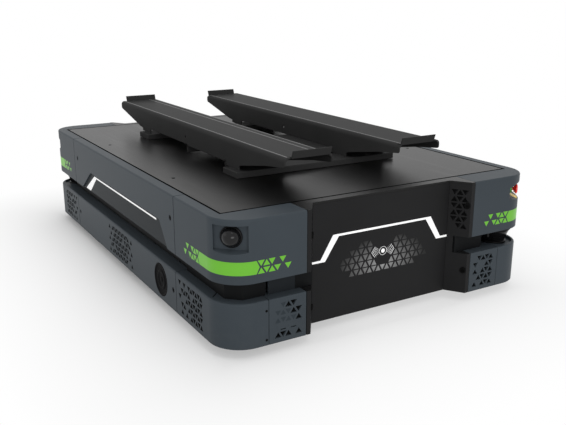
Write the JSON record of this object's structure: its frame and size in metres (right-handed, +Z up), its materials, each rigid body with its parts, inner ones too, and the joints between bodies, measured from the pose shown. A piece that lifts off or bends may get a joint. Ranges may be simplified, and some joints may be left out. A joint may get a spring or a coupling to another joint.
{
  "type": "autonomous mobile robot",
  "caption": "Low rectangular autonomous mobile robot with a lifting pair of load rails, corner laser scanners, light strips, stop buttons and a charging bay at its front.",
  "frame": {"origin": "on the floor under the centre of the body's footprint", "axes": "+Z up, -Y towards the charging bay at the front, X across the body"},
  "size_m": [1.0516, 1.5804, 0.4935],
  "materials": {
    "cover_grey": "fine satin slate grey paint",
    "deck_grey": "fine textured dark grey powder coat",
    "infill_black": "matt black",
    "frame_black": "black powder coat",
    "rail_black": "satin black powder coat on folded sheet",
    "light_green": "lit green diffuser",
    "dome_black": "glossy smoked black",
    "scanner_black": "black moulded plastic",
    "button_red": "satin red moulding",
    "wheel_tread": "dark polyurethane tread on a turned rim",
    "fork_steel": "zinc plated",
    "actuator_alloy": "anodised",
    "print_white": "white printed film",
    "label_yellow": "yellow film",
    "coil_cover": "dark grey resin"
  },
  "bodies": {
    "chassis": {"axle_plate_front": "frame_black", "axle_plate_rear": "frame_black", "battery_pack": "scanner_black", "bay_header_front": "deck_grey", "bay_header_rear": "deck_grey", "bay_infill_front": "infill_black", "bay_infill_rear": "infill_black", "belly_plate": "frame_black", "bumper_front_left": "cover_grey", "bumper_front_right": "cover_grey", "bumper_rear_left": "cover_grey", "bumper_rear_right": "cover_grey", "camera_dome_front": "dome_black", "camera_dome_rear": "dome_black", "cap_front_left": "cover_grey", "cap_front_right": "cover_grey", "cap_rear_left": "cover_grey", "cap_rear_right": "cover_grey", "charging_coil": "coil_cover", "charging_panel": "infill_black", "controller_box": "frame_black", "cover_screws": "frame_black", "frame_beam_left": "frame_black", "frame_beam_right": "frame_black", "frame_cross_front": "frame_black", "frame_cross_rear": "frame_black", "lift_actuators": "actuator_alloy", "light_strips_front": "light_green", "light_strips_rear": "light_green", "scanner_front": "scanner_black", "scanner_rear": "scanner_black", "scanner_windows": "dome_black", "service_panel": "infill_black", "skirt_left": "cover_grey", "skirt_right": "cover_grey", "sounders": "scanner_black", "stop_base_front": "scanner_black", "stop_base_rear": "scanner_black", "top_deck": "deck_grey", "upper_cover_left": "cover_grey", "upper_cover_right": "cover_grey", "vent_covers_front": "cover_grey", "vent_covers_rear": "cover_grey"},
    "lift": {"rail_left": "rail_black", "rail_right": "rail_black", "lift_beam_front": "rail_black", "lift_beam_rear": "rail_black", "lift_tie_plate": "rail_black", "lift_posts": "fork_steel"},
    "stop_button_front": {"stop_button_front": "button_red"},
    "drive_fork_front": {"drive_fork_front": "fork_steel"},
    "drive_wheel_front": {"drive_wheel_front": "wheel_tread"},
    "caster_fork_front": {"caster_fork_front": "fork_steel"},
    "caster_wheel_front": {"caster_wheel_front": "wheel_tread"},
    "stop_button_rear": {"stop_button_rear": "button_red"},
    "drive_fork_rear": {"drive_fork_rear": "fork_steel"},
    "drive_wheel_rear": {"drive_wheel_rear": "wheel_tread"},
    "caster_fork_rear": {"caster_fork_rear": "fork_steel"},
    "caster_wheel_rear": {"caster_wheel_rear": "wheel_tread"}
  },
  "joints": [
    {"name": "lift_slide", "type": "slide", "parent": "chassis", "child": "lift", "axis": [0, 0, 1], "range_m": [0, 0.06]},
    {"name": "stop_press_front", "type": "slide", "parent": "chassis", "child": "stop_button_front", "axis": [-0.7071, 0.7071, 0], "range_m": [0, 0.004], "stiffness_N_per_m": 1500, "springref_m": -0.002},
    {"name": "steer_front", "type": "hinge", "parent": "chassis", "child": "drive_fork_front", "pos_m": [0.25, -0.45, 0.2], "axis": [0, 0, 1], "range_deg": [-110, 110]},
    {"name": "drive_spin_front", "type": "hinge", "parent": "drive_fork_front", "child": "drive_wheel_front", "pos_m": [0.25, -0.45, 0.1], "axis": [1, 0, 0], "continuous": true},
    {"name": "caster_swivel_front", "type": "hinge", "parent": "chassis", "child": "caster_fork_front", "pos_m": [-0.31, -0.52, 0.2], "axis": [0, 0, 1], "continuous": true},
    {"name": "caster_spin_front", "type": "hinge", "parent": "caster_fork_front", "child": "caster_wheel_front", "pos_m": [-0.31, -0.475, 0.075], "axis": [1, 0, 0], "continuous": true},
    {"name": "stop_press_rear", "type": "slide", "parent": "chassis", "child": "stop_button_rear", "axis": [0.7071, -0.7071, 0], "range_m": [0, 0.004], "stiffness_N_per_m": 1500, "springref_m": -0.002},
    {"name": "steer_rear", "type": "hinge", "parent": "chassis", "child": "drive_fork_rear", "pos_m": [-0.25, 0.45, 0.2], "axis": [0, 0, 1], "range_deg": [-110, 110]},
    {"name": "drive_spin_rear", "type": "hinge", "parent": "drive_fork_rear", "child": "drive_wheel_rear", "pos_m": [-0.25, 0.45, 0.1], "axis": [1, 0, 0], "continuous": true},
    {"name": "caster_swivel_rear", "type": "hinge", "parent": "chassis", "child": "caster_fork_rear", "pos_m": [0.31, 0.52, 0.2], "axis": [0, 0, 1], "continuous": true},
    {"name": "caster_spin_rear", "type": "hinge", "parent": "caster_fork_rear", "child": "caster_wheel_rear", "pos_m": [0.31, 0.475, 0.075], "axis": [1, 0, 0], "continuous": true}
  ]
}
